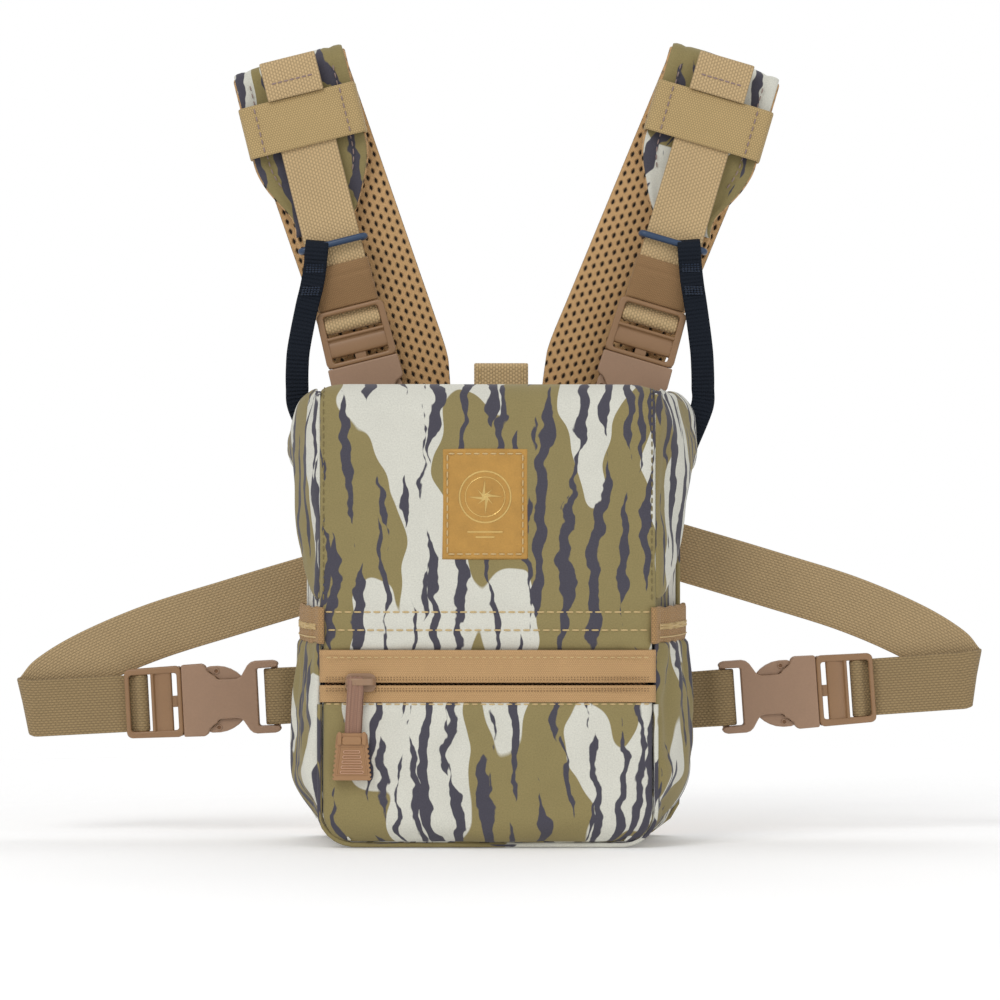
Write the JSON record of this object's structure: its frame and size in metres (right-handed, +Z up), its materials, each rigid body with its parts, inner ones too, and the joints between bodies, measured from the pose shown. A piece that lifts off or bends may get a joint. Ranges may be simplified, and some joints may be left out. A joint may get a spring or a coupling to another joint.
{
  "type": "binocular harness pack",
  "caption": "Chest pack for binoculars with a forward-opening lid, zipped front pocket, side pockets and a padded shoulder and waist harness on side-release buckles.",
  "frame": {"origin": "middle of the underside of the bottom panel, on the pack's centre line", "axes": "+X to the viewer's right across the front face, +Y from the front face towards the wearer, +Z up"},
  "size_m": [0.4271, 0.1127, 0.3486],
  "materials": {
    "camo_fabric": "matte heathered woven print",
    "lining": "soft brushed lining",
    "spacer_mesh": "open spacer mesh",
    "webbing": "ribbed nylon webbing",
    "elastic": "dense knitted elastic",
    "zip_tape": "woven zip tape",
    "zip_chain": "coil elements",
    "zip_plastic": "satin moulded plastic",
    "cord": "ribbed flat cord",
    "buckle_plastic": "satin acetal",
    "leather": "tanned, gold foil motif",
    "magnet": "nickel plated",
    "navy_webbing": "narrow ribbed webbing",
    "navy_plastic": "satin plastic"
  },
  "bodies": {
    "pack": {"back_pad": "spacer_mesh", "back_wall": "lining", "left_side_panel": "camo_fabric", "right_side_panel": "camo_fabric", "bottom_panel": "camo_fabric", "front_wall": "lining", "front_strip": "camo_fabric", "pocket_panel": "camo_fabric", "upper_zip_tape": "zip_tape", "lower_zip_tape": "zip_tape", "zip_chain": "zip_chain", "left_side_pocket": "camo_fabric", "right_side_pocket": "camo_fabric", "left_pocket_elastic": "elastic", "right_pocket_elastic": "elastic", "body_magnets": "magnet", "left_waist_anchor": "webbing", "right_waist_anchor": "webbing", "left_shoulder_anchor": "webbing", "right_shoulder_anchor": "webbing", "left_waist_socket": "buckle_plastic", "right_waist_socket": "buckle_plastic", "left_shoulder_socket": "buckle_plastic", "right_shoulder_socket": "buckle_plastic", "back_yoke": "spacer_mesh"},
    "lid": {"lid_panel": "camo_fabric", "lid_left_wing": "camo_fabric", "lid_right_wing": "camo_fabric", "leather_patch": "leather", "lid_pull_tab": "webbing", "lid_magnets": "magnet"},
    "zip_slider": {"zip_slider": "zip_plastic"},
    "zip_pull": {"zip_pull_cord": "cord", "zip_pull_grip": "zip_plastic"},
    "left_shoulder_strap": {"left_shoulder_plug": "buckle_plastic", "left_shoulder_webbing": "webbing", "left_shoulder_pad": "spacer_mesh", "left_strap_keeper": "elastic", "left_webbing_sleeve": "elastic"},
    "left_tether": {"left_tether_ring": "navy_plastic", "left_tether": "navy_webbing"},
    "left_waist_strap": {"left_waist_plug": "buckle_plastic", "left_waist_webbing": "webbing"},
    "left_shoulder_outer_latch": {"left_shoulder_outer_latch": "buckle_plastic"},
    "left_shoulder_inner_latch": {"left_shoulder_inner_latch": "buckle_plastic"},
    "left_waist_upper_latch": {"left_waist_upper_latch": "buckle_plastic"},
    "left_waist_lower_latch": {"left_waist_lower_latch": "buckle_plastic"},
    "right_shoulder_strap": {"right_shoulder_plug": "buckle_plastic", "right_shoulder_webbing": "webbing", "right_shoulder_pad": "spacer_mesh", "right_strap_keeper": "elastic", "right_webbing_sleeve": "elastic"},
    "right_tether": {"right_tether_ring": "navy_plastic", "right_tether": "navy_webbing"},
    "right_waist_strap": {"right_waist_plug": "buckle_plastic", "right_waist_webbing": "webbing"},
    "right_shoulder_outer_latch": {"right_shoulder_outer_latch": "buckle_plastic"},
    "right_shoulder_inner_latch": {"right_shoulder_inner_latch": "buckle_plastic"},
    "right_waist_upper_latch": {"right_waist_upper_latch": "buckle_plastic"},
    "right_waist_lower_latch": {"right_waist_lower_latch": "buckle_plastic"}
  },
  "joints": [
    {"name": "lid_open", "type": "hinge", "parent": "pack", "child": "lid", "pos_m": [0, -0.042, 0.101], "axis": [1, 0, 0], "range_deg": [0, 150]},
    {"name": "zip_slide", "type": "slide", "parent": "pack", "child": "zip_slider", "axis": [1, 0, 0], "range_m": [0, 0.116]},
    {"name": "zip_pull_swing", "type": "hinge", "parent": "zip_slider", "child": "zip_pull", "pos_m": [-0.058, -0.0462, 0.07], "axis": [1, 0, 0], "range_deg": [-100, 0]},
    {"name": "left_shoulder_release", "type": "slide", "parent": "pack", "child": "left_shoulder_strap", "axis": [-0.2419, 0, 0.9703], "range_m": [0, 0.03]},
    {"name": "left_shoulder_outer_squeeze", "type": "hinge", "parent": "left_shoulder_strap", "child": "left_shoulder_outer_latch", "pos_m": [-0.07069, 0.0465, 0.20494], "axis": [0, -1, 0], "range_deg": [0, 6.5], "stiffness_Nm_per_rad": 0.5},
    {"name": "left_shoulder_inner_squeeze", "type": "hinge", "parent": "left_shoulder_strap", "child": "left_shoulder_inner_latch", "pos_m": [-0.04508, 0.0465, 0.21133], "axis": [0, 1, 0], "range_deg": [0, 6.5], "stiffness_Nm_per_rad": 0.5},
    {"name": "right_shoulder_release", "type": "slide", "parent": "pack", "child": "right_shoulder_strap", "axis": [0.284, 0, 0.9588], "range_m": [0, 0.03]},
    {"name": "right_shoulder_outer_squeeze", "type": "hinge", "parent": "right_shoulder_strap", "child": "right_shoulder_outer_latch", "pos_m": [0.07669, 0.0465, 0.20561], "axis": [0, 1, 0], "range_deg": [0, 6.5], "stiffness_Nm_per_rad": 0.5},
    {"name": "right_shoulder_inner_squeeze", "type": "hinge", "parent": "right_shoulder_strap", "child": "right_shoulder_inner_latch", "pos_m": [0.05137, 0.0465, 0.2131], "axis": [0, -1, 0], "range_deg": [0, 6.5], "stiffness_Nm_per_rad": 0.5},
    {"name": "left_waist_release", "type": "slide", "parent": "pack", "child": "left_waist_strap", "axis": [-0.9986, 0, -0.0523], "range_m": [0, 0.03]},
    {"name": "left_waist_upper_squeeze", "type": "hinge", "parent": "left_waist_strap", "child": "left_waist_upper_latch", "pos_m": [-0.13739, 0.0437, 0.07195], "axis": [0, 1, 0], "range_deg": [0, 6.5], "stiffness_Nm_per_rad": 0.5},
    {"name": "left_waist_lower_squeeze", "type": "hinge", "parent": "left_waist_strap", "child": "left_waist_lower_latch", "pos_m": [-0.13601, 0.0437, 0.04559], "axis": [0, -1, 0], "range_deg": [0, 6.5], "stiffness_Nm_per_rad": 0.5},
    {"name": "right_waist_release", "type": "slide", "parent": "pack", "child": "right_waist_strap", "axis": [0.9976, 0, 0.0698], "range_m": [0, 0.03]},
    {"name": "right_waist_upper_squeeze", "type": "hinge", "parent": "right_waist_strap", "child": "right_waist_upper_latch", "pos_m": [0.14158, 0.0437, 0.07618], "axis": [0, -1, 0], "range_deg": [0, 6.5], "stiffness_Nm_per_rad": 0.5},
    {"name": "right_waist_lower_squeeze", "type": "hinge", "parent": "right_waist_strap", "child": "right_waist_lower_latch", "pos_m": [0.14342, 0.0437, 0.04984], "axis": [0, 1, 0], "range_deg": [0, 6.5], "stiffness_Nm_per_rad": 0.5},
    {"name": "left_tether_slide", "type": "slide", "parent": "left_shoulder_strap", "child": "left_tether", "axis": [-0.2419, 0, 0.9703], "range_m": [0, 0.022]},
    {"name": "right_tether_slide", "type": "slide", "parent": "right_shoulder_strap", "child": "right_tether", "axis": [0.284, 0, 0.9588], "range_m": [0, 0.022]}
  ],
  "couplings": [
    {"joint": "left_shoulder_inner_squeeze", "follows": "left_shoulder_outer_squeeze", "ratio": 1},
    {"joint": "right_shoulder_inner_squeeze", "follows": "right_shoulder_outer_squeeze", "ratio": 1},
    {"joint": "left_waist_lower_squeeze", "follows": "left_waist_upper_squeeze", "ratio": 1},
    {"joint": "right_waist_lower_squeeze", "follows": "right_waist_upper_squeeze", "ratio": 1}
  ]
}
